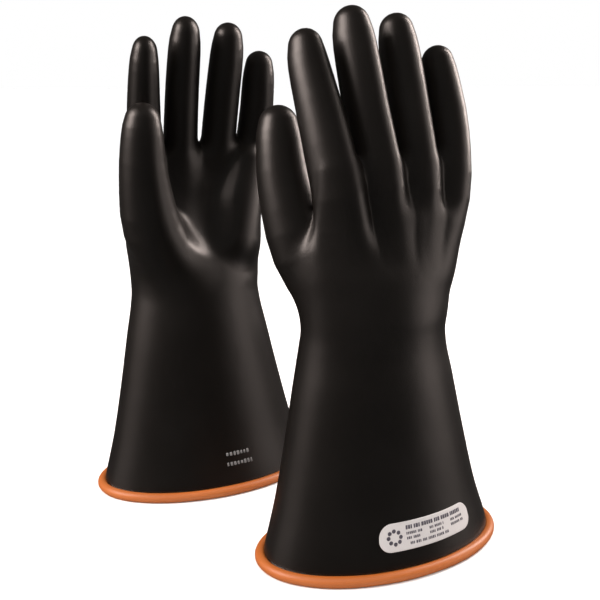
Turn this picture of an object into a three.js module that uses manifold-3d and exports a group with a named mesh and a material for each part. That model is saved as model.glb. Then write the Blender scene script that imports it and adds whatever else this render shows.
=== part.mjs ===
// A pair of dipped rubber insulating gloves, standing side by side on their cuffs.
//
// Each glove has a black outer ply over an orange inner ply, a rolled orange bead round the
// cuff and a pill-shaped class label on the back of the cuff. The two plies are divided at the
// wrist and at the base of every digit, where the rubber flexes.
//
// Units are millimetres and +Z is up. A glove is drawn as the right-hand one: its thumb points
// to -X, its palm faces +Y and its cuff rim lies in the plane z = 0. The left-hand glove is the
// same drawing mirrored in Y, so that the two palms face each other.

import * as THREE from 'three';
import { LoftGeometry } from 'three/addons/geometries/LoftGeometry.js';
import { mergeVertices } from 'three/addons/utils/BufferGeometryUtils.js';
import Module from 'manifold-3d';

const wasm = await Module();
wasm.setup();
const { Manifold } = wasm;

// ---------------------------------------------------------------- driving dimensions

const GLOVE_OFFSET_X = 23.5;    // each glove's cuff centre from the middle of the pair
const GLOVE_OFFSET_Y = 87.5;

const SKIN_THICKNESS = 1.0;     // black outer ply
const LINER_THICKNESS = 0.7;    // orange inner ply
const PIECE_GAP = 0.3;          // clearance between pieces that touch

const CUFF_HALF_WIDTH = 87.3;   // centre line of the rolled bead
const CUFF_HALF_DEPTH = 54.6;
const BEAD_HEIGHT = 7.4;
const BEAD_HALF_WIDTH = 3.7;
const BEAD_FOOT_HALF_WIDTH = 1.7;

const WEB_HEIGHT = 262;         // where neighbouring fingers part
const BODY_SIDES = 18;
const DIGIT_SIDES = 8;
const BARREL_SIDES = 16;

const WRIST = { y: -0.5, z: 150, radius: 46 };
const DIGIT_HINGE_MARGIN = 4;   // the hinge's barrel is this much larger than the digit
const WEB_CLEARANCE = 3;        // how far a finger's barrel stays above the web

// The class label: where round the cuff its middle is, in degrees, and how high.
const LABEL = { angle: 275, height: 28, length: 73, width: 18.6, thickness: 0.7 };

// Gauntlet and palm, as ellipses: height, half width, half depth, centre x, centre y.
const BODY = [
  [BEAD_HEIGHT + PIECE_GAP, 85, 53, 0, 0],
  [40, 75, 48.5, -2, 0],
  [80, 65, 44, -4, 0],
  [120, 56, 41, -6, 0],
  [150, 50, 38, -7, -0.5],
  [175, 52, 35.5, -6, -3],
  [200, 57, 33, -4, -6],
  [225, 59, 29, -2, -9],
  [245, 57, 24, -1, -12],
  [WEB_HEIGHT, 50, 16, 0, -14],
];

// Digits, as circles along each one's length: x, y, z, radius. The last circle carries the
// rounded tip.
const DIGITS = {
  thumb: [[-30, 6, 168, 24], [-50, 18, 205, 21.5], [-58, 27, 245, 17], [-58, 32, 281, 14.5]],
  index: [[-41, -13, 242, 14.4], [-46, -4, 285, 13.9], [-50, 14, 327.5, 13]],
  middle: [[-12, -15, 246, 14.7], [-15, -5, 294, 14.2], [-17, 14, 342.5, 13.4]],
  ring: [[18, -14, 243, 14.4], [18, -4, 291, 13.8], [17, 14, 339, 12.9]],
  little: [[45, -11, 232, 13.4], [46, -5, 276, 12.8], [46, 8, 320.5, 12]],
};
const THUMB_HINGE_HEIGHT = 238;

// ---------------------------------------------------------------- materials

const finish = (color, roughness) => new THREE.MeshStandardMaterial({ color, roughness, metalness: 0 });
const MATERIALS = {
  skin: finish(0x1d1a18, 0.42),
  liner: finish(0xc56a2c, 0.5),
  bead: finish(0xcf7234, 0.45),
  label: finish(0xd8d4d1, 0.55),
};

// ---------------------------------------------------------------- solids

/** Turns a closed three.js geometry into a solid. */
function solidFrom(geometry) {
  const plain = new THREE.BufferGeometry().copy(geometry);
  plain.deleteAttribute('normal');
  plain.deleteAttribute('uv');
  const merged = mergeVertices(plain, 1e-4);
  return new Manifold(new wasm.Mesh({
    numProp: 3,
    vertProperties: new Float32Array(merged.attributes.position.array),
    triVerts: new Uint32Array(merged.index.array),
  }));
}

/** The largest separate piece of a solid, as a three.js geometry. */
function geometryFrom(solid) {
  const largest = solid.decompose().sort((p, q) => q.volume() - p.volume())[0];
  const mesh = largest.getMesh();
  const geometry = new THREE.BufferGeometry();
  geometry.setAttribute('position', new THREE.BufferAttribute(mesh.vertProperties, 3));
  geometry.setIndex(new THREE.BufferAttribute(mesh.triVerts, 1));
  return geometry;
}

/** A level ellipse, counterclockwise from above. */
function ellipse(z, halfWidth, halfDepth, x, y, sides) {
  return Array.from({ length: sides }, (_, i) => {
    const angle = (i + 0.5) / sides * 2 * Math.PI;
    return new THREE.Vector3(x + halfWidth * Math.cos(angle), y + halfDepth * Math.sin(angle), z);
  });
}

/** A closed loft through level sections. */
const loft = (sections) => solidFrom(new LoftGeometry(sections, { capStart: true, capEnd: true }));

/** Everything above a height. */
function above(height) {
  const size = 600;
  return solidFrom(new THREE.BoxGeometry(size, size, size).translate(0, 0, height + size / 2));
}

/** A barrel lying along X, centred on a hinge. With a gap, its flats lie that far past the radius. */
function barrel({ x = 0, y, z, radius, gap = 0, length = 400 }) {
  const corner = gap > 0 ? (radius + gap) / Math.cos(Math.PI / BARREL_SIDES) : radius;
  const cylinder = new THREE.CylinderGeometry(corner, corner, length, BARREL_SIDES);
  return solidFrom(cylinder.rotateZ(Math.PI / 2).translate(x, y, z));
}

/** The solid gauntlet and palm, with its surface moved inwards by inset. */
function bodySolid(inset, floor) {
  const sections = BODY.map(([z, a, b, x, y], i) =>
    ellipse(i === BODY.length - 1 ? z - inset : z, a - inset, b - inset, x, y, BODY_SIDES));
  if (floor !== undefined) {
    const [, a, b, x, y] = BODY[0];
    sections.unshift(ellipse(floor, a - inset, b - inset, x, y, BODY_SIDES));
  }
  return loft(sections);
}

/** The solid digit, with its surface moved inwards by inset. */
function digitSolid(stations, inset) {
  const circles = stations.map(([x, y, z, r]) => ellipse(z, r - inset, r - inset, x, y, DIGIT_SIDES));
  const [x, y, z, r] = stations.at(-1);
  for (const degrees of [38, 68, 86]) {
    const angle = THREE.MathUtils.degToRad(degrees);
    const radius = (r - inset) * Math.cos(angle);
    circles.push(ellipse(z + (r - inset) * Math.sin(angle), radius, radius, x, y, DIGIT_SIDES));
  }
  return loft(circles);
}

/** Centre and radius of a digit at a height, read between its circles. */
function digitAt(stations, height) {
  const next = stations.findIndex(([, , z]) => z > height);
  const [lower, upper] = [stations[next - 1], stations[next]];
  const t = (height - lower[2]) / (upper[2] - lower[2]);
  return lower.map((value, i) => value + t * (upper[i] - value));
}

/** Where a digit flexes: the axis lies along X. */
function hingeOf(name) {
  const stations = DIGITS[name];
  const guess = name === 'thumb' ? THUMB_HINGE_HEIGHT : WEB_HEIGHT + stations[0][3];
  const radius = digitAt(stations, guess)[3] + DIGIT_HINGE_MARGIN;
  const z = name === 'thumb' ? THUMB_HINGE_HEIGHT : WEB_HEIGHT + radius + WEB_CLEARANCE;
  const [x, y] = digitAt(stations, z);
  return { x, y, z, radius };
}

/** The region that moves with a hinge: all above its axis, and its barrel. */
const movingRegion = (hinge, gap = 0) =>
  above(hinge.z - gap).add(barrel({ y: hinge.y, z: hinge.z, radius: hinge.radius, gap }));

/** The region that a digit must have to itself, taken out of both plies of the hand. */
function digitClearance(name) {
  const hinge = hingeOf(name);
  const { y, z, radius } = hinge;
  const ends = [z - radius, z + radius].map((height) => digitAt(DIGITS[name], height));
  const low = Math.min(...ends.map(([cx, , , r]) => cx - r)) - PIECE_GAP;
  const high = Math.max(...ends.map(([cx, , , r]) => cx + r)) + PIECE_GAP;
  const pocket = barrel({ x: (low + high) / 2, y, z, radius, gap: PIECE_GAP, length: high - low });
  return digitSolid(DIGITS[name], -PIECE_GAP).intersect(movingRegion(hinge, PIECE_GAP)).add(pocket);
}

/** One ply of the glove, cut at its flex lines into gauntlet, hand and digits. */
function plyPieces(outer, thickness) {
  const inner = outer + thickness;
  const names = Object.keys(DIGITS);
  const outside = names.reduce((solid, name) => solid.add(digitSolid(DIGITS[name], outer)), bodySolid(outer));
  const inside = names.reduce((solid, name) => solid.add(digitSolid(DIGITS[name], inner)),
    bodySolid(inner, 0));
  const ply = outside.subtract(inside);

  const pieces = {
    gauntlet: ply.subtract(movingRegion(WRIST, PIECE_GAP)),
    hand: names.reduce((solid, name) => solid.subtract(digitClearance(name)),
      ply.intersect(movingRegion(WRIST))),
  };
  for (const name of names) {
    const tube = digitSolid(DIGITS[name], outer).subtract(openEnded(DIGITS[name], inner));
    pieces[name] = tube.intersect(movingRegion(hingeOf(name)));
  }
  return pieces;
}

/** A digit's hollow, which runs out through the digit's lower end. */
function openEnded(stations, inset) {
  const [x, y, z, r] = stations[0];
  return digitSolid([[x, y, z - 5, r], ...stations], inset);
}

/** The rolled bead: a ring with a flat foot. */
function beadSolid() {
  const profile = [[0, BEAD_FOOT_HALF_WIDTH], [2, BEAD_HALF_WIDTH], [BEAD_HEIGHT - 2, BEAD_HALF_WIDTH],
    [BEAD_HEIGHT, BEAD_FOOT_HALF_WIDTH]];
  const ring = ([z, w]) => ellipse(z, CUFF_HALF_WIDTH + w, CUFF_HALF_DEPTH + w, 0, 0, BODY_SIDES);
  const hollow = profile.map(([z, w]) => [z, -w]);
  const past = [[-1, -BEAD_FOOT_HALF_WIDTH], ...hollow, [BEAD_HEIGHT + 1, -BEAD_FOOT_HALF_WIDTH]];
  return loft(profile.map(ring)).subtract(loft(past.map(ring)));
}

/** The class label: a thin pill that follows the back of the cuff. */
function labelSolid() {
  const band = bodySolid(-PIECE_GAP - LABEL.thickness).subtract(bodySolid(-PIECE_GAP, 0));
  const r = LABEL.width / 2;
  const straight = LABEL.length / 2 - r;
  const pill = new THREE.Shape();
  pill.absarc(straight, 0, r, -Math.PI / 2, Math.PI / 2);
  pill.absarc(-straight, 0, r, Math.PI / 2, 3 * Math.PI / 2);
  const depth = 30;
  const prism = new THREE.ExtrudeGeometry(pill, { depth, bevelEnabled: false, curveSegments: 5 });
  prism.translate(0, 0, -depth / 2);

  const angle = THREE.MathUtils.degToRad(LABEL.angle);
  const centre = new THREE.Vector3(CUFF_HALF_WIDTH * Math.cos(angle), CUFF_HALF_DEPTH * Math.sin(angle),
    LABEL.height);
  const outward = new THREE.Vector3(Math.cos(angle) / CUFF_HALF_WIDTH, Math.sin(angle) / CUFF_HALF_DEPTH, 0)
    .normalize();
  const up = new THREE.Vector3(0, 0, 1);
  const along = new THREE.Vector3().crossVectors(up, outward);
  prism.applyMatrix4(new THREE.Matrix4().makeBasis(along, up, outward).setPosition(centre));
  return band.intersect(solidFrom(prism));
}

// ---------------------------------------------------------------- the pair

function mesh(name, solid, material) {
  const piece = new THREE.Mesh(geometryFrom(solid), material);
  piece.name = name;
  return piece;
}

/** One glove, as the right-hand one. */
function glove(side) {
  const group = new THREE.Group();
  const skins = plyPieces(0, SKIN_THICKNESS);
  const liners = plyPieces(SKIN_THICKNESS + PIECE_GAP, LINER_THICKNESS);
  for (const name of Object.keys(skins)) {
    group.add(mesh(`${side}_${name}_skin`, skins[name], MATERIALS.skin));
    group.add(mesh(`${side}_${name}_liner`, liners[name], MATERIALS.liner));
  }
  group.add(mesh(`${side}_cuff_bead`, beadSolid(), MATERIALS.bead));
  group.add(mesh(`${side}_class_label`, labelSolid(), MATERIALS.label));
  return group;
}

const right = glove('right');
right.position.set(GLOVE_OFFSET_X, -GLOVE_OFFSET_Y, 0);

const left = glove('left');
left.scale.y = -1;
left.position.set(-GLOVE_OFFSET_X, GLOVE_OFFSET_Y, 0);

const pair = new THREE.Group();
pair.add(right, left);
export default pair;
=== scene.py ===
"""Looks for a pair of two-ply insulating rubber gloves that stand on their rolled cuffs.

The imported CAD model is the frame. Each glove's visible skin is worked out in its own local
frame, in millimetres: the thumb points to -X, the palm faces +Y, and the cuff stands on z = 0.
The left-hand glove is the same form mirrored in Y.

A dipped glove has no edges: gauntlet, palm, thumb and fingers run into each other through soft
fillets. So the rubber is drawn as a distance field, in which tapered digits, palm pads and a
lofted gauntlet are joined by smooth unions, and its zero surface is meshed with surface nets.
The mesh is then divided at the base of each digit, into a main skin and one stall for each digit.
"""

from __future__ import annotations

import logging
import math
from dataclasses import dataclass
from enum import Enum
from functools import cache

import bpy
import numpy as np
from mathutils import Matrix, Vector

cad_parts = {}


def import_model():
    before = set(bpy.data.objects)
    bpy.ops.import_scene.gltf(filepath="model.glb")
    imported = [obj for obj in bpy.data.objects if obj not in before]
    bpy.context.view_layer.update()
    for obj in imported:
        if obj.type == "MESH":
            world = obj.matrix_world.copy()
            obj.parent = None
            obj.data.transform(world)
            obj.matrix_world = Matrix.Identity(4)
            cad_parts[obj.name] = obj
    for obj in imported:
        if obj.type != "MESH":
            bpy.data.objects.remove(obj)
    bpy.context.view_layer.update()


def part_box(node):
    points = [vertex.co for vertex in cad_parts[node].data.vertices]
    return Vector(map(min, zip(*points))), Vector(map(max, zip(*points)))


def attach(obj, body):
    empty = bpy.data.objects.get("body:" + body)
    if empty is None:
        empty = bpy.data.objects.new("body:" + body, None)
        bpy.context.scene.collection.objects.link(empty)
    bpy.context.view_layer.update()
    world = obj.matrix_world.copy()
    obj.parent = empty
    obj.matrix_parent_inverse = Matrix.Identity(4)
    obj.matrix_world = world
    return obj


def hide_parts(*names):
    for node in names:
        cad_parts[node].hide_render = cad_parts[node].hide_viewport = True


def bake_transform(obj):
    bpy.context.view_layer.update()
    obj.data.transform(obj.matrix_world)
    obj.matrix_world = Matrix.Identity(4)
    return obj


log = logging.getLogger("gloves")

MM = 0.001
Array = np.ndarray


class Side(Enum):
    """Which hand a glove is for. The value is the sign that turns the local Y axis."""

    RIGHT = 1
    LEFT = -1

    @property
    def word(self) -> str:
        """The side's name in lower case, as the frame's bodies use it."""
        return self.name.lower()


class Digit(Enum):
    """The five digits."""

    THUMB = "thumb"
    INDEX = "index"
    MIDDLE = "middle"
    RING = "ring"
    LITTLE = "little"


# ---------------------------------------------------------------- the glove's form


def smooth_union(a: Array, b: Array, blend: Array | float) -> Array:
    """Joins two distance fields with a fillet, by the polynomial smooth minimum.

    Args:
        a: First field.
        b: Second field.
        blend: Width of the zone, in millimetres, over which the fields are mixed. It can
            differ from point to point.

    Returns:
        The joined field.
    """
    h = np.clip(0.5 + 0.5 * (b - a) / blend, 0, 1)
    return b + (a - b) * h - blend * h * (1 - h)


def smooth_cut(a: Array, tool: Array, blend: float) -> Array:
    """Takes a tool away from a distance field and rounds the edge that this leaves.

    Args:
        a: Field to cut.
        tool: Field of what is taken away.
        blend: Width of the rounded zone, in millimetres.

    Returns:
        The cut field.
    """
    return -smooth_union(-a, tool, blend)


def round_cone(p: Array, start: Array, end: Array) -> Array:
    """Distance to a round cone: two balls and the cone that is tangent to both.

    With u the share of the way along the axis and w the distance from it, a point is measured
    from the ball whose side it is on, or else square to the cone's slanted side.

    Args:
        p: Points, one a row.
        start: First ball, as (x, y, z, radius).
        end: Other ball, likewise.

    Returns:
        One distance for each point.
    """
    axis = end[:3] - start[:3]
    length = np.linalg.norm(axis)
    shrink = (start[3] - end[3]) / length
    slant = math.sqrt(1 - shrink * shrink)
    away = p - start[:3]
    u = away @ axis / length
    w = np.sqrt(np.maximum((away * away).sum(1) - u * u, 0))
    foot = u - w * shrink / slant
    on_cone = w * slant + u * shrink - start[3]
    on_start = np.hypot(u, w) - start[3]
    on_end = np.hypot(u - length, w) - end[3]
    return np.where(foot < 0, on_start, np.where(foot > length, on_end, on_cone))


def ellipsoid(p: Array, centre: tuple, radii: tuple) -> Array:
    """Approximate distance to an ellipsoid, from its scaled radius and that radius's gradient.

    Args:
        p: Points, one a row.
        centre: The ellipsoid's middle.
        radii: Its three half-axes.

    Returns:
        One distance for each point.
    """
    q = (p - np.array(centre)) / np.array(radii)
    scaled = np.linalg.norm(q, axis=1)
    slope = np.linalg.norm(q / np.array(radii), axis=1) + 1e-9
    return scaled * (scaled - 1) / slope


@dataclass(frozen=True)
class Stall:
    """One digit: the stations of its axis as (x, y, z, radius), from its root to its tip."""

    stations: tuple
    flat: float = 1.0
    flat_turn: float = 0.0
    steps: int = 3

    def axis(self) -> Array:
        """The axis as rows of (x, y, z, radius).

        Cubic curves with the stations' mean slopes run between the stations.

        Returns:
            The rows, root first.
        """
        given = np.array(self.stations, float)
        knots = np.arange(len(given))
        s = np.linspace(0, len(given) - 1, self.steps * (len(given) - 1) + 1)
        i = np.clip(s.astype(int), 0, len(given) - 2)
        t = (s - i)[:, None]
        slope = np.gradient(given, knots, axis=0)
        rise = t * t * (3 - 2 * t)
        rows = given[i] * (1 - rise) + given[i + 1] * rise
        rows += t * (1 - t) ** 2 * slope[i] - t * t * (1 - t) * slope[i + 1]
        return rows

    def distance(self, p: Array) -> Array:
        """Distance from points to the digit, the least over the round cones along its axis.

        An oval digit is a round one in a space stretched across its flat side.

        Args:
            p: Points, one a row.

        Returns:
            One distance for each point.
        """
        rows = self.axis()
        if self.flat != 1.0:
            turn = math.radians(self.flat_turn)
            across = np.array([math.sin(turn), math.cos(turn), 0.0])
            stretch = np.eye(3) + (self.flat - 1) * np.outer(across, across)
            p = p @ stretch
            rows = np.column_stack([rows[:, :3] @ stretch, rows[:, 3]])
        joints = zip(rows[:-1], rows[1:])
        return np.minimum.reduce([round_cone(p, a, b) for a, b in joints])


@dataclass(frozen=True)
class GloveForm:
    """The former that the glove is dipped on, as a distance field in the glove's local frame.

    Lengths are millimetres. The sections are level ellipses of the gauntlet and the palm:
    height, half width, half depth, centre x, centre y. Each pair of web roots fills a valley
    of the back below an outer web, and the heel is the pad on the little finger's side of the
    palm: two balls each, as (x, y, z, radius). The thumb's fillet fades between the two
    heights of its crotch, so that the thumb parts cleanly from the index.
    """

    sections: tuple = (
        (-20, 90.5, 57, 0.0, 0.0),
        (7, 85, 53, 0.0, 0.0),
        (40, 75, 48.5, -2.0, 0.0),
        (80, 65.5, 44.5, -4.0, 0.0),
        (120, 57.0, 41, -6.0, 0.0),
        (144, 52.0, 38.2, -7.0, 0.0),
        (152, 51.0, 37.6, -7.0, -0.5),
        (162, 51.5, 36.8, -6.5, -1.5),
        (178, 53, 33.5, -6.0, -3.0),
        (192, 55, 30, -5.0, -4.5),
        (206, 55.5, 22.5, -4.0, -6.0),
        (225, 53, 13.5, -3.0, -7.0),
        (245, 50, 10.5, -2.0, -8.0),
        (262, 46, 9, -1.0, -9.0),
    )
    web_height: float = 262.0
    web_fillet: float = 12.0
    finger_fillet: float = 2.0
    palm_fillet: float = 8.0
    thumb_fillet: float = 11.0
    thumb_fillet_top: float = 1.0
    thumb_crotch: tuple = (206, 240)
    web_roots: tuple = (
        ((4, -13, 224, 15.0), (2, -11, 196, 17.0)),
        ((29, -12, 222, 14.0), (22, -10, 196, 16.0)),
    )
    root_fillet: float = 8.0
    heel: tuple = ((20, 10, 190, 21.0), (38, 1, 248, 14.5))
    heel_fillet: float = 10.0
    hollow_centre: tuple = (-5, 36, 229)
    hollow_radii: tuple = (23, 26, 44)
    hollow_fillet: float = 7.0
    probe: float = 0.05

    @property
    def stalls(self) -> dict[Digit, Stall]:
        """The digits' axes and radii.

        Returns:
            One stall for each digit.
        """
        thumb = ((-24, 8, 166, 24), (-48, 17.5, 204, 21.8), (-57.5, 26.5, 243, 17.5),
                 (-59.3, 31, 272, 14.8), (-59.3, 32.4, 282.6, 12.6))
        index = ((-29, -10, 190, 15), (-41, -9.5, 242, 16.6), (-46, 1.5, 285, 15.3),
                 (-49, 12.5, 318, 13.3), (-49.4, 15.9, 329.7, 11.2))
        middle = ((-9, -13, 188, 16), (-12, -12.5, 244, 15.6), (-15.3, 0, 293, 14.8),
                  (-16.8, 11, 331, 13.9), (-17, 14.6, 343.5, 11.9))
        ring = ((11, -11, 194, 17), (17.5, -12, 242, 14.6), (17.5, 0, 291, 13.9),
                (17.2, 11.2, 328, 13.1), (17, 14.6, 340.8, 11.2))
        little = ((27, -9, 190, 16), (43.5, -11, 236, 13.4), (48, -3, 278, 13.1),
                  (46.6, 5.6, 310, 12.2), (45.9, 8.4, 322.0, 10.4))
        return {
            Digit.THUMB: Stall(thumb),
            Digit.INDEX: Stall(index, flat=1.25, flat_turn=58),
            Digit.MIDDLE: Stall(middle, flat=1.18, flat_turn=58),
            Digit.RING: Stall(ring, flat=1.06, flat_turn=58),
            Digit.LITTLE: Stall(little),
        }

    def loft(self, p: Array) -> Array:
        """Distance to the gauntlet and palm, through cubic curves between the sections.

        Each level slice is an ellipse whose half-axes and centre follow Hermite curves
        through the sections. The distance is the ellipse's scaled radius over its gradient.

        Args:
            p: Points, one a row.

        Returns:
            One distance for each point.
        """
        half_width, half_depth, x0, y0 = self.section_at(p[:, 2])
        x, y = p[:, 0] - x0, p[:, 1] - y0
        scaled = np.hypot(x / half_width, y / half_depth)
        slope = np.hypot(x / half_width**2, y / half_depth**2) + 1e-9
        near = scaled * (scaled - 1) / slope
        return np.where(scaled < 0.2, -np.minimum(half_width, half_depth) * (1 - scaled), near)

    def section_at(self, height: Array) -> Array:
        """The level slice at each height.

        Args:
            height: Heights in millimetres.

        Returns:
            Half width, half depth, centre x and centre y, as four rows.
        """
        rows = np.array(self.sections, float)
        levels, values = rows[:, 0], rows[:, 1:]
        tangents = np.gradient(values, levels, axis=0)
        z = np.clip(height, levels[0], levels[-1])
        i = np.clip(np.searchsorted(levels, z) - 1, 0, len(levels) - 2)
        span = (levels[i + 1] - levels[i])[:, None]
        s = (z - levels[i])[:, None] / span
        rise = s * s * (3 - 2 * s)
        curve = values[i] * (1 - rise) + values[i + 1] * rise
        curve += span * (s * (1 - s) ** 2 * tangents[i] - s * s * (1 - s) * tangents[i + 1])
        return curve.T

    def distance(self, p: Array) -> Array:
        """Signed distance to the glove's outer surface, negative inside the rubber.

        Args:
            p: Points in the glove's local frame, in millimetres, one a row.

        Returns:
            One distance for each point.
        """
        stalls = self.stalls
        body = self.loft(p)
        body = smooth_cut(body, self.web_height - p[:, 2], self.web_fillet)
        for start, end in self.web_roots:
            root = round_cone(p, np.array(start), np.array(end))
            body = smooth_union(body, root, self.root_fillet)
        heel = round_cone(p, np.array(self.heel[0]), np.array(self.heel[1]))
        body = smooth_union(body, heel, self.heel_fillet)

        fingers = stalls[Digit.INDEX].distance(p)
        for digit in (Digit.MIDDLE, Digit.RING, Digit.LITTLE):
            fingers = smooth_union(fingers, stalls[digit].distance(p), self.finger_fillet)
        hand = smooth_union(body, fingers, self.palm_fillet)
        low, high = self.thumb_crotch
        rise = np.clip((p[:, 2] - low) / (high - low), 0, 1)
        fade = self.thumb_fillet - self.thumb_fillet_top
        fillet = self.thumb_fillet - fade * rise * rise * (3 - 2 * rise)
        hand = smooth_union(hand, stalls[Digit.THUMB].distance(p), fillet)
        hollow = ellipsoid(p, self.hollow_centre, self.hollow_radii)
        return smooth_cut(hand, hollow, self.hollow_fillet)

    def normals(self, p: Array) -> Array:
        """Unit outward normals, from the field at the corners of a small tetrahedron.

        Args:
            p: Points, one a row.

        Returns:
            One normal for each point.
        """
        corners = np.array([(1, -1, -1), (-1, -1, 1), (-1, 1, -1), (1, 1, 1)])
        gradient = sum(self.distance(p + self.probe * c)[:, None] * c for c in corners)
        return gradient / np.linalg.norm(gradient, axis=1, keepdims=True)


# ---------------------------------------------------------------- meshing the form


@dataclass
class Surface:
    """An open surface: vertices and unit normals in millimetres, and its quads."""

    points: Array
    normals: Array
    quads: Array


@dataclass(frozen=True)
class SurfaceNet:
    """Meshes the zero surface of a glove's distance field on a cubic grid.

    The grid is sampled in cubic blocks first, and point by point only in a band round the
    surface that is so many pitches wide on each side.
    """

    form: GloveForm
    pitch: float = 2.0
    low: tuple = (-100.0, -66.0, 0.0)
    high: tuple = (96.0, 66.0, 362.0)
    relaxations: int = 2
    block: int = 3
    band: float = 5.0

    def build(self, floor: float) -> Surface:
        """Meshes the form above a level floor.

        The grid's vertex layers are set so that one layer of cells has its centres at the
        floor, and the lowest ring of vertices is then levelled there.

        Args:
            floor: Height of the open lower edge.

        Returns:
            The surface, its vertices on the field's zero and its edge level.
        """
        low = np.array(self.low)
        low[2] = floor - 1.5 * self.pitch
        count = np.ceil((np.array(self.high) - low) / self.pitch).astype(int) + 1
        points, quads = self._nets(self._sample(low, count))
        points = low + self.pitch * points
        points, quads = self._above(points, quads, floor - 0.6 * self.pitch)
        for _ in range(self.relaxations):
            points = self._project(self._relax(points, quads, floor + 0.6 * self.pitch))
        edge = points[:, 2] < floor + 0.5 * self.pitch
        points[edge, 2] = floor
        points = self._project(points, np.where(edge, 0.0, 1.0))
        return Surface(points, self.form.normals(points), quads)

    def _sample(self, low: Array, count: Array) -> Array:
        """The field on the grid: one value for each block of points, finer near its zero.

        Args:
            low: The grid's lowest corner.
            count: Points along each axis.

        Returns:
            The samples. Far from the surface only their signs are right.
        """
        blocks = -(-count // self.block)
        middle = self.block // 2
        lines = [low[i] + self.pitch * (self.block * np.arange(blocks[i]) + middle) for i in range(3)]
        centres = np.stack(np.meshgrid(*lines, indexing="ij"), -1).reshape(-1, 3)
        field = self.form.distance(centres).reshape(blocks)
        for axis in range(3):
            field = np.repeat(field, self.block, axis)
        field = field[: count[0], : count[1], : count[2]].copy()
        near = np.abs(field) < self.band * self.pitch
        field[near] = self.form.distance(low + self.pitch * np.argwhere(near))
        return field

    @staticmethod
    def _nets(field: Array) -> tuple[Array, Array]:
        """Surface nets: one vertex in each mixed cell, one quad round each crossed edge.

        A cell whose corners differ in sign gets a vertex at the mean of the zero crossings of
        its twelve edges. Each grid edge that changes sign joins the four cells around it.

        Args:
            field: Samples on the grid.

        Returns:
            Vertices in grid units, and quads with their faces outward.
        """
        inside = field < 0
        cells = np.array(field.shape) - 1
        corners = np.array([(i, j, k) for i in (0, 1) for j in (0, 1) for k in (0, 1)])

        def corner(a: Array, c: Array) -> Array:
            """The grid's values at one corner of every cell."""
            return a[c[0] : c[0] + cells[0], c[1] : c[1] + cells[1], c[2] : c[2] + cells[2]]

        filled = sum(corner(inside, c).astype(np.int8) for c in corners)
        mixed = (filled > 0) & (filled < 8)
        index = np.full(mixed.shape, -1)
        index[mixed] = np.arange(mixed.sum())
        where = np.argwhere(mixed)
        total = np.zeros((len(where), 3))
        crossings = np.zeros(len(where))
        for a in corners:
            for axis in np.flatnonzero(a == 0):
                b = a.copy()
                b[axis] = 1
                fa = field[tuple((where + a).T)]
                fb = field[tuple((where + b).T)]
                crossed = (fa < 0) != (fb < 0)
                t = np.where(crossed, fa / np.where(crossed, fa - fb, 1), 0)
                total += np.where(crossed[:, None], a + t[:, None] * (b - a), 0)
                crossings += crossed
        quads = []
        for axis in range(3):
            u, v = (axis + 1) % 3, (axis + 2) % 3
            first = np.take(inside, range(inside.shape[axis] - 1), axis)
            second = np.take(inside, range(1, inside.shape[axis]), axis)
            edges = np.argwhere(first != second)
            clear = (edges[:, u] > 0) & (edges[:, v] > 0)
            clear &= (edges[:, u] < field.shape[u] - 1) & (edges[:, v] < field.shape[v] - 1)
            edges = edges[clear]
            leaving = first[tuple(edges.T)]
            ring = []
            for du, dv in ((-1, -1), (0, -1), (0, 0), (-1, 0)):
                cell = edges.copy()
                cell[:, u] += du
                cell[:, v] += dv
                ring.append(index[tuple(cell.T)])
            ring = np.stack(ring, 1)
            ring[~leaving] = ring[~leaving][:, ::-1]
            quads.append(ring)
        return where + total / crossings[:, None], np.concatenate(quads)

    @staticmethod
    def _above(points: Array, quads: Array, height: float) -> tuple[Array, Array]:
        """Keeps the quads whose corners are all above a height, and the vertices they use.

        Args:
            points: Vertices.
            quads: Quads.
            height: The height.

        Returns:
            The vertices and quads that are kept.
        """
        kept = quads[(points[quads][:, :, 2] > height).all(1)]
        used, packed = np.unique(kept, return_inverse=True)
        return points[used], packed.reshape(kept.shape)

    @staticmethod
    def _relax(points: Array, quads: Array, fixed_below: float) -> Array:
        """Moves each vertex half way to the mean of its quads' centres, above a height.

        Args:
            points: Vertices.
            quads: Quads.
            fixed_below: Height below which nothing moves.

        Returns:
            The moved vertices.
        """
        centres = points[quads].mean(1)
        total = np.zeros_like(points)
        count = np.zeros(len(points))
        for k in range(4):
            np.add.at(total, quads[:, k], centres)
            np.add.at(count, quads[:, k], 1)
        mean = total / count[:, None]
        free = points[:, 2:3] > fixed_below
        return np.where(free, 0.5 * (points + mean), points)

    def _project(self, points: Array, vertical: Array | float = 1.0) -> Array:
        """Newton steps along the field's gradient, back to its zero.

        Args:
            points: Points near the surface.
            vertical: Share of each step's vertical part that is taken.

        Returns:
            The points on the surface.
        """
        way = self.form.normals(points)
        way[:, 2] *= vertical
        for _ in range(2):
            points = points - self.form.distance(points)[:, None] * way
        return points


@dataclass(frozen=True)
class Division:
    """Where the glove's surface is divided into the main skin and the digits' stalls."""

    form: GloveForm
    finger_height: float = 270.0
    thumb_height: float = 218.0

    def owners(self, surface: Surface) -> Array:
        """The owner of each quad: -1 for the main skin, or the digit's place in Digit.

        A quad belongs to the digit that its corners are nearest to, if they are all above the
        height where that digit parts from the hand.

        Args:
            surface: The whole glove's surface.

        Returns:
            One number for each quad.
        """
        stalls = self.form.stalls
        near = np.stack([stalls[digit].distance(surface.points) for digit in Digit], 1)
        nearest = near.argmin(1)
        start = np.where(nearest == 0, self.thumb_height, self.finger_height)
        owner = np.where(surface.points[:, 2] > start, nearest, -1)
        corners = owner[surface.quads]
        mixed = (corners >= 0).all(1) & (corners != corners[:, :1]).any(1)
        log.info("%d quads join two digits above their seams", mixed.sum())
        return np.where((corners == corners[:, :1]).all(1), corners[:, 0], -1)


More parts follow.
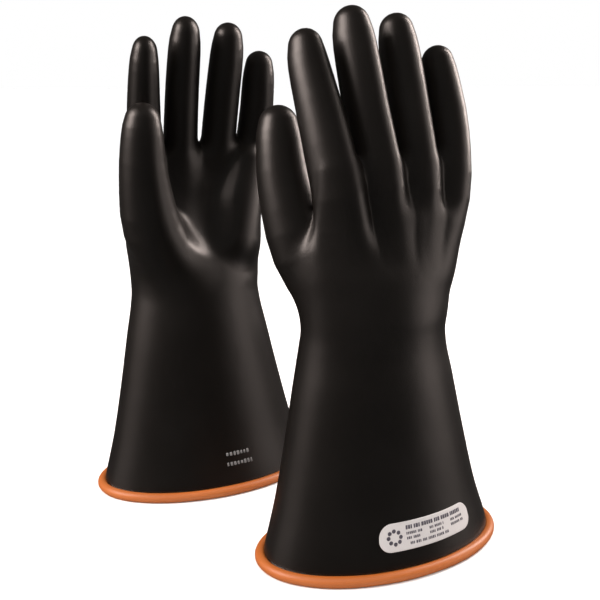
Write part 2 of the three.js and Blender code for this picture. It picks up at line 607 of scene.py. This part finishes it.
def boundary(quads: Array) -> Array:
    """Finds the directed edges that only one quad uses.

    Args:
        quads: Quads as rows of vertex numbers.

    Returns:
        The edges, as rows of two vertex numbers.
    """
    edges = np.concatenate([quads[:, [k, (k + 1) % 4]] for k in range(4)])
    size = int(quads.max()) + 1
    forward = edges[:, 0] * size + edges[:, 1]
    backward = edges[:, 1] * size + edges[:, 0]
    return edges[~np.isin(forward, backward)]


def new_object(name: str, points: Array, faces: Array,
               normals: Array | None = None) -> bpy.types.Object:
    """Puts arrays into a smooth-shaded mesh object.

    Args:
        name: The object's name.
        points: Vertices in metres, in the row frame.
        faces: Quads, or triangles, as rows of vertex numbers.
        normals: Unit normal of each vertex, or none to leave the mesh's own.

    Returns:
        The linked object.
    """
    mesh = bpy.data.meshes.new(name)
    corners = faces.shape[1]
    mesh.vertices.add(len(points))
    mesh.vertices.foreach_set("co", points.astype(np.float32).ravel())
    mesh.loops.add(faces.size)
    mesh.loops.foreach_set("vertex_index", faces.astype(np.int32).ravel())
    mesh.polygons.add(len(faces))
    mesh.polygons.foreach_set("loop_start", np.arange(0, faces.size, corners, dtype=np.int32))
    mesh.update(calc_edges=True)
    mesh.validate()
    mesh.shade_smooth()
    if normals is not None:
        mesh.normals_split_custom_set_from_vertices(normals.astype(np.float32))
    item = bpy.data.objects.new(name, mesh)
    bpy.context.scene.collection.objects.link(item)
    return item


# ---------------------------------------------------------------- materials


class NodeSheet:
    """A small helper that adds and wires shader nodes in one node tree."""

    def __init__(self, tree: bpy.types.NodeTree) -> None:
        """Starts with an empty tree."""
        self.tree = tree
        self.tree.nodes.clear()

    def node(self, kind: str, **settings: object) -> bpy.types.Node:
        """Adds a node and sets its properties.

        Args:
            kind: The node's type.
            settings: Its properties, by name.

        Returns:
            The node.
        """
        made = self.tree.nodes.new(kind)
        for name, value in settings.items():
            setattr(made, name, value)
        return made

    def feed(self, node: bpy.types.Node, **inputs: object) -> bpy.types.Node:
        """Sets or links inputs, named in lower case with underscores for spaces.

        Args:
            node: The node.
            inputs: A value or an output for each input.

        Returns:
            The same node.
        """
        for name, value in inputs.items():
            self._join(self._socket(node, name), value)
        return node

    def _join(self, socket: bpy.types.NodeSocket, value: object) -> None:
        """Links a socket to an output, or gives it a plain value.

        Args:
            socket: The input.
            value: What it takes.
        """
        if isinstance(value, bpy.types.NodeSocket):
            self.tree.links.new(value, socket)
        else:
            socket.default_value = value

    @staticmethod
    def _socket(node: bpy.types.Node, name: str) -> bpy.types.NodeSocket:
        """The enabled input whose name or identifier matches.

        Args:
            node: The node.
            name: The input's name, with underscores for spaces.

        Returns:
            The input.
        """
        wanted = name.replace("_", " ").lower()
        for socket in node.inputs:
            if socket.enabled and wanted in (socket.name.lower(), socket.identifier.lower()):
                return socket
        raise KeyError(f"{node.bl_idname} has no input {name}")

    def math(self, operation: str, a: object, b: object) -> bpy.types.NodeSocket:
        """A Math node on two values.

        Args:
            operation: What it does.
            a: First value or output.
            b: Second value or output.

        Returns:
            The result.
        """
        made = self.node("ShaderNodeMath", operation=operation)
        self._join(made.inputs[0], a)
        self._join(made.inputs[1], b)
        return made.outputs[0]

    def noise(self, vector: object, scale: object, detail: float = 3.0) -> bpy.types.NodeSocket:
        """A noise texture's value.

        Args:
            vector: Where it is read.
            scale: How fine it is.
            detail: Its octaves.

        Returns:
            The value.
        """
        made = self.node("ShaderNodeTexNoise")
        self.feed(made, vector=vector, scale=scale, detail=detail)
        return made.outputs["Fac"]

    def ramp(self, value: object, low: object, high: object, to_low: object, to_high: object,
             smooth: bool = True) -> bpy.types.NodeSocket:
        """A Map Range node from (low, high) to (to_low, to_high).

        Args:
            value: The value or output to map.
            low: Start of its range.
            high: End of its range.
            to_low: What the start becomes.
            to_high: What the end becomes.
            smooth: Whether it eases in and out.

        Returns:
            The mapped value.
        """
        made = self.node("ShaderNodeMapRange")
        if smooth:
            made.interpolation_type = "SMOOTHSTEP"
        self.feed(made, value=value, from_min=low, from_max=high, to_min=to_low, to_max=to_high)
        return made.outputs[0]

    def blend(self, factor: object, a: object, b: object) -> bpy.types.NodeSocket:
        """A colour mix.

        Args:
            factor: Share of the second colour.
            a: First colour.
            b: Second colour.

        Returns:
            The colour.
        """
        made = self.node("ShaderNodeMix", data_type="RGBA")
        for place, value in ((0, factor), (6, a), (7, b)):
            self._join(made.inputs[place], value)
        return made.outputs[2]


def new_group(name: str, inputs: dict[str, str], output: str) -> tuple:
    """Starts a shader node group.

    Args:
        name: The group's name.
        inputs: The kind of each input socket, by its title.
        output: Title of the one output, a number.

    Returns:
        The group's sheet, its input node's outputs, and its output node.
    """
    tree = bpy.data.node_groups.new(name, "ShaderNodeTree")
    sheet = NodeSheet(tree)
    for title, kind in inputs.items():
        tree.interface.new_socket(title, in_out="INPUT", socket_type=kind)
    tree.interface.new_socket(output, in_out="OUTPUT", socket_type="NodeSocketFloat")
    given, result = sheet.node("NodeGroupInput"), sheet.node("NodeGroupOutput")
    return sheet, given.outputs, result


@cache
def rubber_grain() -> bpy.types.NodeTree:
    """Relief of dipped rubber: fine grain from the former over slow ripples of the dip.

    Returns:
        The group. Its height is the grain and pores times Grain, plus the ripple times Ripple.
    """
    kinds = {"Vector": "NodeSocketVector", "Grain": "NodeSocketFloat", "Ripple": "NodeSocketFloat"}
    sheet, given, result = new_group("rubber_grain", kinds, "Height")
    grain = sheet.noise(given["Vector"], 2600.0, 2.0)
    pores = sheet.noise(given["Vector"], 900.0, 3.0)
    ripple = sheet.noise(given["Vector"], 46.0, 2.0)
    fine = sheet.math("MULTIPLY", sheet.math("ADD", grain, pores), given["Grain"])
    slow = sheet.math("MULTIPLY", ripple, given["Ripple"])
    sheet.feed(result, height=sheet.math("ADD", fine, slow))
    return sheet.tree


@cache
def powder_bloom() -> bpy.types.NodeTree:
    """Where storage powder and a bloom of wax have settled: cloudy patches with speckle.

    Returns:
        The group. Its mask is the clouds times the speckle times Amount.
    """
    kinds = {"Vector": "NodeSocketVector", "Amount": "NodeSocketFloat"}
    sheet, given, result = new_group("powder_bloom", kinds, "Mask")
    cloud = sheet.ramp(sheet.noise(given["Vector"], 22.0, 4.0), 0.35, 0.75, 0.25, 1.0)
    speckle = sheet.ramp(sheet.noise(given["Vector"], 1500.0, 2.0), 0.45, 0.7, 0.4, 1.0)
    both = sheet.math("MULTIPLY", cloud, speckle)
    sheet.feed(result, mask=sheet.math("MULTIPLY", both, given["Amount"]))
    return sheet.tree


@cache
def rub_marks() -> bpy.types.NodeTree:
    """Faint upright rubs that handling and stacking leave, as stretched noise.

    Returns:
        The group. Its mask is the streaks times the zones that have them times Amount.
    """
    kinds = {"Vector": "NodeSocketVector", "Amount": "NodeSocketFloat"}
    sheet, given, result = new_group("rub_marks", kinds, "Mask")
    stretch = sheet.node("ShaderNodeMapping")
    sheet.feed(stretch, vector=given["Vector"], scale=(1.0, 1.0, 0.12))
    streaks = sheet.ramp(sheet.noise(stretch.outputs[0], 260.0, 3.0), 0.56, 0.74, 0.0, 1.0)
    zones = sheet.ramp(sheet.noise(given["Vector"], 30.0, 2.0), 0.5, 0.62, 0.0, 1.0)
    both = sheet.math("MULTIPLY", streaks, zones)
    sheet.feed(result, mask=sheet.math("MULTIPLY", both, given["Amount"]))
    return sheet.tree


@dataclass(frozen=True)
class RubberFinish:
    """One colour of dipped rubber. The relief is the depth of its bump, in metres."""

    name: str
    base: tuple
    bloom: tuple
    roughness: float
    rough_spread: float = 0.1
    bloom_amount: float = 0.3
    grain: float = 0.5
    ripple: float = 2.0
    rubs: float = 0.2
    relief: float = 0.0001

    def material(self) -> bpy.types.Material:
        """Builds the material: bloom and rubs tint and dull the base, grain lifts the surface.

        Returns:
            The material.
        """
        made = bpy.data.materials.new(self.name)
        made.use_nodes = True
        sheet = NodeSheet(made.node_tree)
        place = sheet.node("ShaderNodeTexCoord").outputs["Object"]
        grain = sheet.feed(self._group(sheet, rubber_grain()), vector=place,
                           grain=self.grain, ripple=self.ripple)
        bloom = sheet.feed(self._group(sheet, powder_bloom()), vector=place,
                           amount=self.bloom_amount)
        rubs = sheet.feed(self._group(sheet, rub_marks()), vector=place, amount=self.rubs)
        worn = sheet.math("MAXIMUM", bloom.outputs[0], rubs.outputs[0])
        colour = sheet.blend(worn, self.base, self.bloom)
        rough = sheet.ramp(worn, 0.0, 1.0, self.roughness, self.roughness + self.rough_spread,
                           smooth=False)
        bump = sheet.feed(sheet.node("ShaderNodeBump"), strength=1.0, distance=self.relief,
                          height=grain.outputs[0])
        shader = sheet.feed(sheet.node("ShaderNodeBsdfPrincipled"), base_color=colour,
                            roughness=rough, normal=bump.outputs[0])
        sheet.feed(sheet.node("ShaderNodeOutputMaterial"), surface=shader.outputs[0])
        return made

    @staticmethod
    def _group(sheet: NodeSheet, tree: bpy.types.NodeTree) -> bpy.types.Node:
        """Places a node group."""
        return sheet.node("ShaderNodeGroup", node_tree=tree)


BLACK_PLY = RubberFinish("black_ply", (0.0030, 0.0023, 0.0018, 1), (0.013, 0.0108, 0.0095, 1), 0.36)
ORANGE_PLY = RubberFinish("orange_ply", (0.55, 0.15, 0.03, 1), (0.62, 0.36, 0.2, 1), 0.5,
                          bloom_amount=0.5)
ORANGE_BEAD = RubberFinish("orange_bead", (0.345, 0.088, 0.0135, 1), (0.38, 0.155, 0.052, 1), 0.42,
                           bloom_amount=0.3)
LABEL_FACE = RubberFinish("label_face", (0.44, 0.42, 0.415, 1), (0.33, 0.31, 0.305, 1), 0.5,
                          bloom_amount=0.3, ripple=0.5)
LABEL_PRINT = RubberFinish("label_print", (0.03, 0.025, 0.04, 1), (0.2, 0.19, 0.2, 1), 0.55)
GREY_INK = RubberFinish("grey_ink", (0.17, 0.17, 0.17, 1), (0.05, 0.05, 0.05, 1), 0.6,
                        bloom_amount=0.9)


@cache
def shared(finish: RubberFinish) -> bpy.types.Material:
    """The finish's material, built the first time that it is asked for."""
    return finish.material()


# ---------------------------------------------------------------- the glove's pieces


@dataclass(frozen=True)
class Ply:
    """One layer of rubber: how far its two faces lie inside the form, and its words."""

    word: str
    slot: str
    outer_depth: float
    inner_depth: float


SKIN = Ply("skin", "outer_rubber", 0.0, 1.0)
LINER = Ply("liner", "inner_rubber", 1.3, 2.0)


@dataclass
class Glove:
    """One glove: its plies, divided into main skin and stalls, and its place in the frame.

    Lengths are millimetres. The two wrist heights are not used. Each digit's bend length, from just
    above its stall's open edge, is worked out and logged, but nothing bends.
    """

    side: Side
    form: GloveForm
    cuff_floor: float = 7.2
    wrist_start: float = 115.0
    wrist_end: float = 185.0
    thumb_bend: float = 39.0
    finger_bend: float = 25.6
    edge_margin: float = 0.5

    def __post_init__(self) -> None:
        """Finds the glove's place from its cuff bead in the frame."""
        low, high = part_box(f"{self.side.word}_cuff_bead")
        self.origin = np.array([(low.x + high.x) / 2, (low.y + high.y) / 2, 0.0])

    def place(self, points: Array) -> Array:
        """Local millimetres to the row frame in metres."""
        return points * np.array([1, self.side.value, 1]) * MM + self.origin

    def turn(self, normals: Array) -> Array:
        """Local directions to the row frame."""
        return normals * np.array([1, self.side.value, 1])

    def shell(self, name: str, surface: Surface, quads: Array, ply: Ply) -> bpy.types.Object:
        """Closes part of the form's surface into a shell of the ply's thickness.

        The outer and inner faces are the same quads at two depths along the normals, and each
        open edge is closed by a strip of quads between them.

        Args:
            name: The piece's name.
            surface: The whole glove's surface.
            quads: The quads of this piece.
            ply: The layer.

        Returns:
            The piece.
        """
        used, packed = np.unique(quads, return_inverse=True)
        quads = packed.reshape(quads.shape)
        points, normals = surface.points[used], surface.normals[used]
        outer = points - ply.outer_depth * normals
        inner = points - ply.inner_depth * normals
        count = len(used)
        rim = boundary(quads)
        strip = np.stack([rim[:, 1], rim[:, 0], rim[:, 0] + count, rim[:, 1] + count], 1)
        faces = np.concatenate([quads, quads[:, ::-1] + count, strip])
        if self.side is Side.LEFT:
            faces = faces[:, ::-1]
        both = np.concatenate([normals, -normals])
        return new_object(name, self.place(np.concatenate([outer, inner])), faces, self.turn(both))

    def build_ply(self, ply: Ply, surface: Surface, finish: bpy.types.Material) -> None:
        """Makes one ply's main skin and its five stalls.

        Args:
            ply: The layer.
            surface: The whole glove's surface.
            finish: The layer's material.
        """
        word = self.side.word
        owners = Division(self.form).owners(surface)
        main = self.shell(f"{word}_glove_{ply.word}", surface, surface.quads[owners < 0], ply)
        self.finish(main, ply, finish, f"{word}_gauntlet_{ply.word}", f"{word}_hand_{ply.word}")
        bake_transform(main)
        for number, digit in enumerate(Digit):
            quads = surface.quads[owners == number]
            name = f"{word}_{digit.value}_stall_{ply.word}"
            stall = self.shell(name, surface, quads, ply)
            self.finish(stall, ply, finish, f"{word}_{digit.value}_{ply.word}")
            self.bend(stall, digit)

    def bend(self, stall: bpy.types.Object, digit: Digit) -> None:
        """Bakes a stall's transform and logs the length and height of its digit's bend, which would
        start just above its open edge; the stall is not bent.

        Args:
            stall: The digit's piece.
            digit: The digit.
        """
        edge = Division(self.form)
        thumb = digit is Digit.THUMB
        start = (edge.thumb_height if thumb else edge.finger_height) + self.edge_margin
        length = self.thumb_bend if thumb else self.finger_bend
        axis = self.form.stalls[digit].axis()
        foot = np.array([np.interp(start, axis[:, 2], axis[:, k]) for k in range(3)])
        top = np.array([np.interp(start + length, axis[:, 2], axis[:, k]) for k in range(3)])
        a, b = self.place(np.stack([foot, top]))
        a[:2] = b[:2]
        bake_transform(stall)
        log.info("%s bends over %.0f mm from z %.0f mm", stall.name, length, start)

    @staticmethod
    def finish(piece: bpy.types.Object, ply: Ply, finish: bpy.types.Material, *nodes: str) -> None:
        """Gives a piece its material, and hides the nodes that it stands for.

        Args:
            piece: The piece.
            ply: Its layer. Not used.
            finish: Its material.
            nodes: The nodes of the frame that it replaces.
        """
        piece.data.materials.append(finish)
        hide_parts(*nodes)
        log.info("%s: %d faces", piece.name, len(piece.data.polygons))

    def cuff_point(self, along: Array, height: Array, lift: Array, angle: float) -> Array:
        """Points on the gauntlet, from a run along the cuff and a height.

        The run is arc length round the level ellipse from the given angle, the point is on
        the ellipse of its own height, and lift moves it out along the ellipse's normal.

        Args:
            along: Arc length from the angle, counterclockwise, in millimetres.
            height: Height in millimetres.
            lift: Distance out of the surface.
            angle: Where the run starts, in degrees.

        Returns:
            Points in the local frame, one a row.
        """
        shape = np.broadcast(along, height, lift).shape
        along, height, lift = (np.broadcast_to(v, shape).ravel() for v in (along, height, lift))
        reach, steps = 1.5, 1201
        turn = np.radians(angle) + np.linspace(-reach, reach, steps)
        a, b, _, _ = self.form.section_at(np.array([float(np.mean(height))]))
        speed = np.hypot(a * np.sin(turn), b * np.cos(turn))
        strides = np.diff(turn) * (speed[1:] + speed[:-1]) / 2
        run = np.concatenate([[0.0], np.cumsum(strides)])
        run -= run[len(run) // 2]
        t = np.interp(along, run, turn)
        a, b, x0, y0 = self.form.section_at(height)
        normal = np.stack([np.cos(t) / a, np.sin(t) / b, 0 * t], 1)
        normal /= np.linalg.norm(normal, axis=1, keepdims=True)
        base = np.stack([x0 + a * np.cos(t), y0 + b * np.sin(t), height], 1)
        return base + lift[:, None] * normal


@dataclass(frozen=True)
class CuffBead:
    """The rolled bead: a round section carried along the cuff's ellipse, flat underneath."""

    half_width: float = 87.3
    half_depth: float = 54.6
    radius: float = 3.7
    centre_height: float = 3.55
    steps: int = 320
    sides: int = 28

    def build(self, glove: Glove) -> None:
        """Makes the bead of one glove.

        For t round the ellipse and s round the section, the point is the ellipse's point plus
        radius times (cos s along the ellipse's normal, sin s up). The radius swells and
        shrinks slowly, as a hand-rolled edge does, and heights stop at the floor.

        Args:
            glove: The glove it belongs to.
        """
        t = np.linspace(0, 2 * np.pi, self.steps, endpoint=False)[:, None]
        s = np.linspace(0, 2 * np.pi, self.sides, endpoint=False)[None, :]
        out = np.stack([np.cos(t) / self.half_width, np.sin(t) / self.half_depth], -1)
        out /= np.linalg.norm(out, axis=-1, keepdims=True)
        swell = 1 + 0.02 * np.sin(5 * t + 0.6) + 0.012 * np.sin(11 * t + 1.9)
        roll = 1 - 0.035 * np.exp(-(((s - 2.2) / 0.16) ** 2))
        radius = self.radius * swell * roll
        x = self.half_width * np.cos(t) + radius * np.cos(s) * out[..., 0]
        y = self.half_depth * np.sin(t) + radius * np.cos(s) * out[..., 1]
        z = np.maximum(self.centre_height + radius * np.sin(s), 0.0)
        points = np.stack([x, y, z], -1).reshape(-1, 3)
        i, j = np.meshgrid(np.arange(self.steps), np.arange(self.sides), indexing="ij")
        up, on = (j + 1) % self.sides, (i + 1) % self.steps
        corner = [i * self.sides + j, on * self.sides + j, on * self.sides + up, i * self.sides + up]
        faces = np.stack(corner, -1).reshape(-1, 4)
        if glove.side is Side.LEFT:
            faces = faces[:, ::-1]
        word = glove.side.word
        bead = new_object(f"{word}_rolled_bead", glove.place(points), faces)
        bead.data.materials.append(shared(ORANGE_BEAD))
        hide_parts(f"{word}_cuff_bead")
        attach(bead, f"{word}_gauntlet")
        log.info("%s: %d faces", bead.name, len(faces))


@dataclass(frozen=True)
class Patch:
    """A thin raised patch on the cuff with rounded ends, such as a label or a print mark.

    It is placed by its middle's run and height from an anchor. Its foot sinks, its shoulder
    stands and its top edge is drawn in by the given shares of its thickness.
    """

    along: float
    height: float
    length: float
    width: float
    thickness: float
    corner: float
    foot: float = 0.4
    shoulder: float = 0.6
    bevel: float = 0.45


@dataclass(frozen=True)
class CuffGraphics:
    """The class label with its print, and the ink marks, all lying on the gauntlet.

    A row of the print layout is a height, how tall its marks are, and the runs that they
    fill. A row of the stamp is a height, where it starts, and its number of marks. The size
    ring is the run of its middle, its radius, its number of dots and a dot's width.
    """

    glove: Glove
    label_angle: float = 275.0
    label_height: float = 28.0
    label_gap: float = 0.05
    label: Patch = Patch(0.0, 0.0, 76.0, 18.6, 0.45, 8.6)
    print_thickness: float = 0.06
    size_ring: tuple = (-27.5, 4.3, 8, 2.7)
    print_layout: tuple = (
        (5.4, 2.7, ((-19, 31),)),
        (1.5, 1.8, ((-19, -6), (-1, 12), (18, 31))),
        (-1.7, 1.8, ((-19, -8), (-1, 12), (18, 31))),
        (-5.2, 1.9, ((-17, 16),)),
    )
    stamp_angle: float = 87.0
    stamp_height: float = 27.5
    stamp_gap: float = 0.04
    stamp_rows: tuple = ((3.6, -9.5, 7), (-4.2, -11.5, 8))

    @staticmethod
    def _slab(patch: Patch, step: float, rows: int) -> tuple[Array, Array]:
        """A rounded rectangle with a top, a rounded edge, a side and an underside, closed.

        Columns run along the patch, closer together near its ends. In each column the points
        run across the outline: its half width is the rectangle's, and falls along a quarter
        circle within a corner radius of each end. The underside is the same columns at the
        foot's height. Points that coincide are joined, and faces without area are dropped.

        Args:
            patch: The patch.
            step: Spacing of the columns on the straight part.
            rows: Points across.

        Returns:
            Run, height and lift of each point, and the triangles.
        """
        r = min(patch.corner, patch.width / 2, patch.length / 2)
        half, straight = patch.length / 2, patch.length / 2 - r
        arc = np.radians(np.linspace(0, 90, max(3, int(2 * r / step) + 3)))
        count = max(1, int(2 * straight / step))
        middle = np.linspace(-straight, straight, count + 1)[1:-1]
        u = np.concatenate([-straight - r * np.cos(arc), middle, straight + r * np.sin(arc)])
        reach = np.clip(np.abs(u) - straight, 0, r)
        edge = patch.width / 2 - r + np.sqrt(np.maximum(r * r - reach * reach, 0))
        inset = np.array([0.0, 0.0, patch.bevel * patch.thickness])
        across = np.concatenate([[1, 1, 1], np.linspace(1, -1, rows + 2)[1:-1], [-1, -1, -1]])
        lift = np.array([-patch.foot, patch.shoulder, 1.0]) * patch.thickness
        lifts = np.concatenate([lift, np.full(rows, patch.thickness), lift[::-1]])
        pull = np.concatenate([inset, np.zeros(rows), inset[::-1]])
        v = across * np.maximum(edge[:, None] - pull, 0)
        end = np.minimum((half - np.abs(u)) / (patch.bevel * patch.thickness), 1)[:, None]
        rim = patch.shoulder + (1 - patch.shoulder) * end
        w = np.minimum(lifts, rim * patch.thickness)
        w = np.where(np.abs(u)[:, None] >= half - 1e-9, -patch.foot * patch.thickness, w)
        run = np.broadcast_to(u[:, None], v.shape)
        foot = np.full(v.shape, -patch.foot * patch.thickness)
        grid = np.concatenate([np.stack([run, v, h], -1).reshape(-1, 3) for h in (w, foot)])
        i, j = np.meshgrid(np.arange(len(u) - 1), np.arange(v.shape[1] - 1), indexing="ij")
        n = v.shape[1]
        quads = np.stack([i * n + j, i * n + j + 1, (i + 1) * n + j + 1, (i + 1) * n + j], -1)
        quads = quads.reshape(-1, 4)
        quads = np.concatenate([quads, quads[:, ::-1] + v.size])
        _, kept, joined = np.unique(np.round(grid, 5), axis=0, return_index=True, return_inverse=True)
        faces = joined.ravel()[np.concatenate([quads[:, [0, 1, 2]], quads[:, [0, 2, 3]]])]
        a, b, c = faces.T
        return grid[kept], faces[(a != b) & (b != c) & (c != a)]

    def stick(self, name: str, patches: list[Patch], angle: float, height: float, lift: float,
              step: float = 0.7, rows: int = 0) -> bpy.types.Object:
        """Joins patches into one object that lies on the cuff.

        Args:
            name: The piece's name.
            patches: Patches, placed by run and height from the anchor.
            angle: The anchor's place round the cuff, in degrees.
            height: The anchor's height.
            lift: Height of the patches' base over the rubber. Their feet reach below it.
            step: Spacing of each patch's columns.
            rows: Points across each patch's top.

        Returns:
            The piece.
        """
        points, faces, offset = [], [], 0
        for patch in patches:
            grid, triangles = self._slab(patch, step, rows)
            run, level = patch.along + grid[:, 0], height + patch.height + grid[:, 1]
            points.append(self.glove.cuff_point(run, level, lift + grid[:, 2], angle))
            faces.append(triangles + offset)
            offset += len(grid)
        faces = np.concatenate(faces)
        if self.glove.side is Side.LEFT:
            faces = faces[:, ::-1]
        item = new_object(name, self.glove.place(np.concatenate(points)), faces)
        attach(item, f"{self.glove.side.word}_gauntlet")
        log.info("%s: %d faces", item.name, len(faces))
        return item

    def print_rows(self) -> list[Patch]:
        """Generic print for the label: a ring of dots stands for the size, bars for the words.

        Returns:
            The marks, placed from the label's middle.
        """
        rng = np.random.default_rng(11)
        marks = []
        middle, radius, count, dot = self.size_ring
        for turn in np.linspace(0, 2 * np.pi, count + 1)[:-1]:
            x, y = middle + radius * math.cos(turn), radius * math.sin(turn)
            marks.append(Patch(x, y, dot, dot, self.print_thickness, dot / 2))
        for height, tall, blocks in self.print_layout:
            for start, end in blocks:
                x = start
                while x < end - 0.6:
                    word = int(rng.integers(3, 8))
                    for wide in rng.uniform(0.75, 1.35, word) * tall / 1.9:
                        if x + wide > end:
                            break
                        mark = Patch(x + wide / 2, height, wide, tall, self.print_thickness, 0.25)
                        marks.append(mark)
                        x += wide + 0.3
                    x += 0.9
        return marks

    def build_label(self) -> None:
        """Makes the label and its print."""
        word = self.glove.side.word
        face = self.stick(f"{word}_label_face", [self.label], self.label_angle, self.label_height,
                          self.label_gap, step=1.0, rows=12)
        face.data.materials.append(shared(LABEL_FACE))
        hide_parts(f"{word}_class_label")
        ink = self.stick(f"{word}_label_print", self.print_rows(), self.label_angle,
                         self.label_height, self.label_gap + self.label.thickness)
        ink.data.materials.append(shared(LABEL_PRINT))

    def build_stamp(self) -> None:
        """Makes two rows of grey ink dashes on the palm side of the cuff."""
        rng = np.random.default_rng(5)
        marks = []
        for height, start, count in self.stamp_rows:
            x = start
            for _ in range(count):
                wide = float(rng.uniform(1.3, 2.2))
                tall = float(rng.uniform(2.6, 3.4))
                marks.append(Patch(x + wide / 2, height, wide, tall, 0.05, 0.6))
                x += wide + float(rng.uniform(0.9, 1.3))
        ink = self.stick(f"{self.glove.side.word}_ink_marks", marks, self.stamp_angle,
                         self.stamp_height, self.stamp_gap)
        ink.data.materials.append(shared(GREY_INK))


# ---------------------------------------------------------------- studio


@dataclass(frozen=True)
class Lamp:
    """A rectangular area light: where it stands, the point it faces, its sides and its watts."""

    name: str
    stand: tuple
    aim: tuple
    sides: tuple
    watts: float

    def build(self, colour: tuple) -> None:
        """Adds the light.

        Args:
            colour: Its colour.
        """
        data = bpy.data.lights.new(self.name, "AREA")
        data.shape = "RECTANGLE"
        data.size, data.size_y = self.sides
        data.energy = self.watts
        data.color = colour
        item = bpy.data.objects.new(self.name, data)
        item.location = self.stand
        away = np.array(self.aim) - np.array(self.stand)
        item.rotation_euler = Vector(away).to_track_quat("-Z", "Y").to_euler()
        bpy.context.scene.collection.objects.link(item)


@dataclass(frozen=True)
class Studio:
    """Floor, lights, world and camera: lengths in metres, angles in degrees, lens in mm."""

    yaw: float = 30.4
    distance: float = 0.622
    eye_height: float = 0.308
    pitch: float = 12.5
    sideways: float = 0.054
    lens: float = 58.56
    floor_half: float = 60.0
    warm: tuple = (1.0, 0.85, 0.78)
    lamps: tuple = (
        Lamp("left_bank", (-1.2, 0.28, 0.92), (0, 0, 0.3), (0.8, 0.9), 27),
        Lamp("left_low", (-1.2, 0.35, 0.1), (0, 0, 0.1), (0.9, 0.8), 1.1),
        Lamp("right_soft", (1.05, -0.7, 0.5), (0, 0, 0.2), (0.5, 1.3), 1.9),
        Lamp("right_strip", (1.15, -0.02, 0.8), (0, 0, 0.25), (0.2, 1.0), 20),
        Lamp("right_low", (1.0, -0.6, 0.05), (0, 0, 0.1), (0.6, 0.6), 1.1),
    )

    def camera(self, target: Array) -> None:
        """Places the camera at its yaw, distance and height from the right-hand glove.

        Args:
            target: The middle of that glove's cuff.
        """
        yaw, pitch = math.radians(self.yaw), math.radians(self.pitch)
        ahead = np.array([math.sin(yaw), math.cos(yaw), 0.0])
        across = np.array([math.cos(yaw), -math.sin(yaw), 0.0])
        eye = target - self.distance * ahead - self.sideways * across
        data = bpy.data.cameras.new("camera")
        data.sensor_width = 36
        data.lens = self.lens
        camera = bpy.data.objects.new("camera", data)
        camera.location = (eye[0], eye[1], self.eye_height)
        camera.rotation_euler = (math.pi / 2 - pitch, 0, -yaw)
        bpy.context.scene.collection.objects.link(camera)
        bpy.context.scene.camera = camera

    @staticmethod
    def sun(name: str, tilt: tuple, strength: float, spread: float) -> None:
        """Adds a soft distant light that matt surfaces feel and glossy ones don't reflect.

        Args:
            name: The light's name.
            tilt: How far it leans from straight above, and the way it leans, in degrees.
            strength: Its irradiance.
            spread: Its angular size in degrees.
        """
        data = bpy.data.lights.new(name, "SUN")
        data.energy = strength
        data.angle = math.radians(spread)
        item = bpy.data.objects.new(name, data)
        item.rotation_euler = (math.radians(tilt[0]), 0, math.radians(tilt[1]))
        item.visible_glossy = False
        bpy.context.scene.collection.objects.link(item)

    def floor(self) -> None:
        """A pale floor, out of sight for glossy reflections so that the rubber stays black."""
        half = self.floor_half
        points = np.array([(-half, -half, 0), (half, -half, 0), (half, half, 0), (-half, half, 0)])
        floor = new_object("studio_floor", points, np.array([[0, 1, 2, 3]]))
        made = bpy.data.materials.new("pale_floor")
        made.use_nodes = True
        sheet = NodeSheet(made.node_tree)
        shader = sheet.feed(sheet.node("ShaderNodeBsdfPrincipled"), base_color=(0.9, 0.9, 0.9, 1),
                            roughness=0.9)
        sheet.feed(sheet.node("ShaderNodeOutputMaterial"), surface=shader.outputs[0])
        floor.data.materials.append(made)
        floor.visible_glossy = False

    def world(self) -> None:
        """A white surround to the eye that lights and reflects only dimly."""
        world = bpy.data.worlds.new("studio")
        world.use_nodes = True
        sheet = NodeSheet(world.node_tree)
        seen = sheet.feed(sheet.node("ShaderNodeBackground"), color=(1, 1, 1, 1), strength=1.0)
        felt = sheet.feed(sheet.node("ShaderNodeBackground"), color=(1, 0.95, 0.92, 1), strength=0.05)
        choose = sheet.node("ShaderNodeMixShader")
        light_path = sheet.node("ShaderNodeLightPath")
        world.node_tree.links.new(light_path.outputs["Is Camera Ray"], choose.inputs[0])
        world.node_tree.links.new(felt.outputs[0], choose.inputs[1])
        world.node_tree.links.new(seen.outputs[0], choose.inputs[2])
        sheet.feed(sheet.node("ShaderNodeOutputWorld"), surface=choose.outputs[0])
        bpy.context.scene.world = world

    def build(self, target: Array) -> None:
        """Sets up everything that isn't the object.

        Args:
            target: The middle of the right-hand glove's cuff.
        """
        bpy.context.scene.view_settings.view_transform = "Standard"
        self.camera(target)
        self.floor()
        self.world()
        for lamp in self.lamps:
            lamp.build(self.warm)
        self.sun("sky", (0.0, 0.0), 3.0, 100)
        self.sun("front_fill", (50.0, -35.0), 1.4, 60)


def main() -> None:
    """Builds both gloves and the studio."""
    logging.basicConfig(level=logging.INFO, format="%(name)s: %(message)s")
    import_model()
    form = GloveForm()
    gloves = {side: Glove(side, form) for side in Side}
    Studio().build(gloves[Side.RIGHT].origin)
    surface = SurfaceNet(form).build(Glove.cuff_floor)
    for ply, finish in ((SKIN, BLACK_PLY), (LINER, ORANGE_PLY)):
        for glove in gloves.values():
            glove.build_ply(ply, surface, shared(finish))
    for glove in gloves.values():
        CuffBead().build(glove)
        CuffGraphics(glove).build_label()
    CuffGraphics(gloves[Side.LEFT]).build_stamp()
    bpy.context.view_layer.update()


if __name__ == "__main__":
    main()
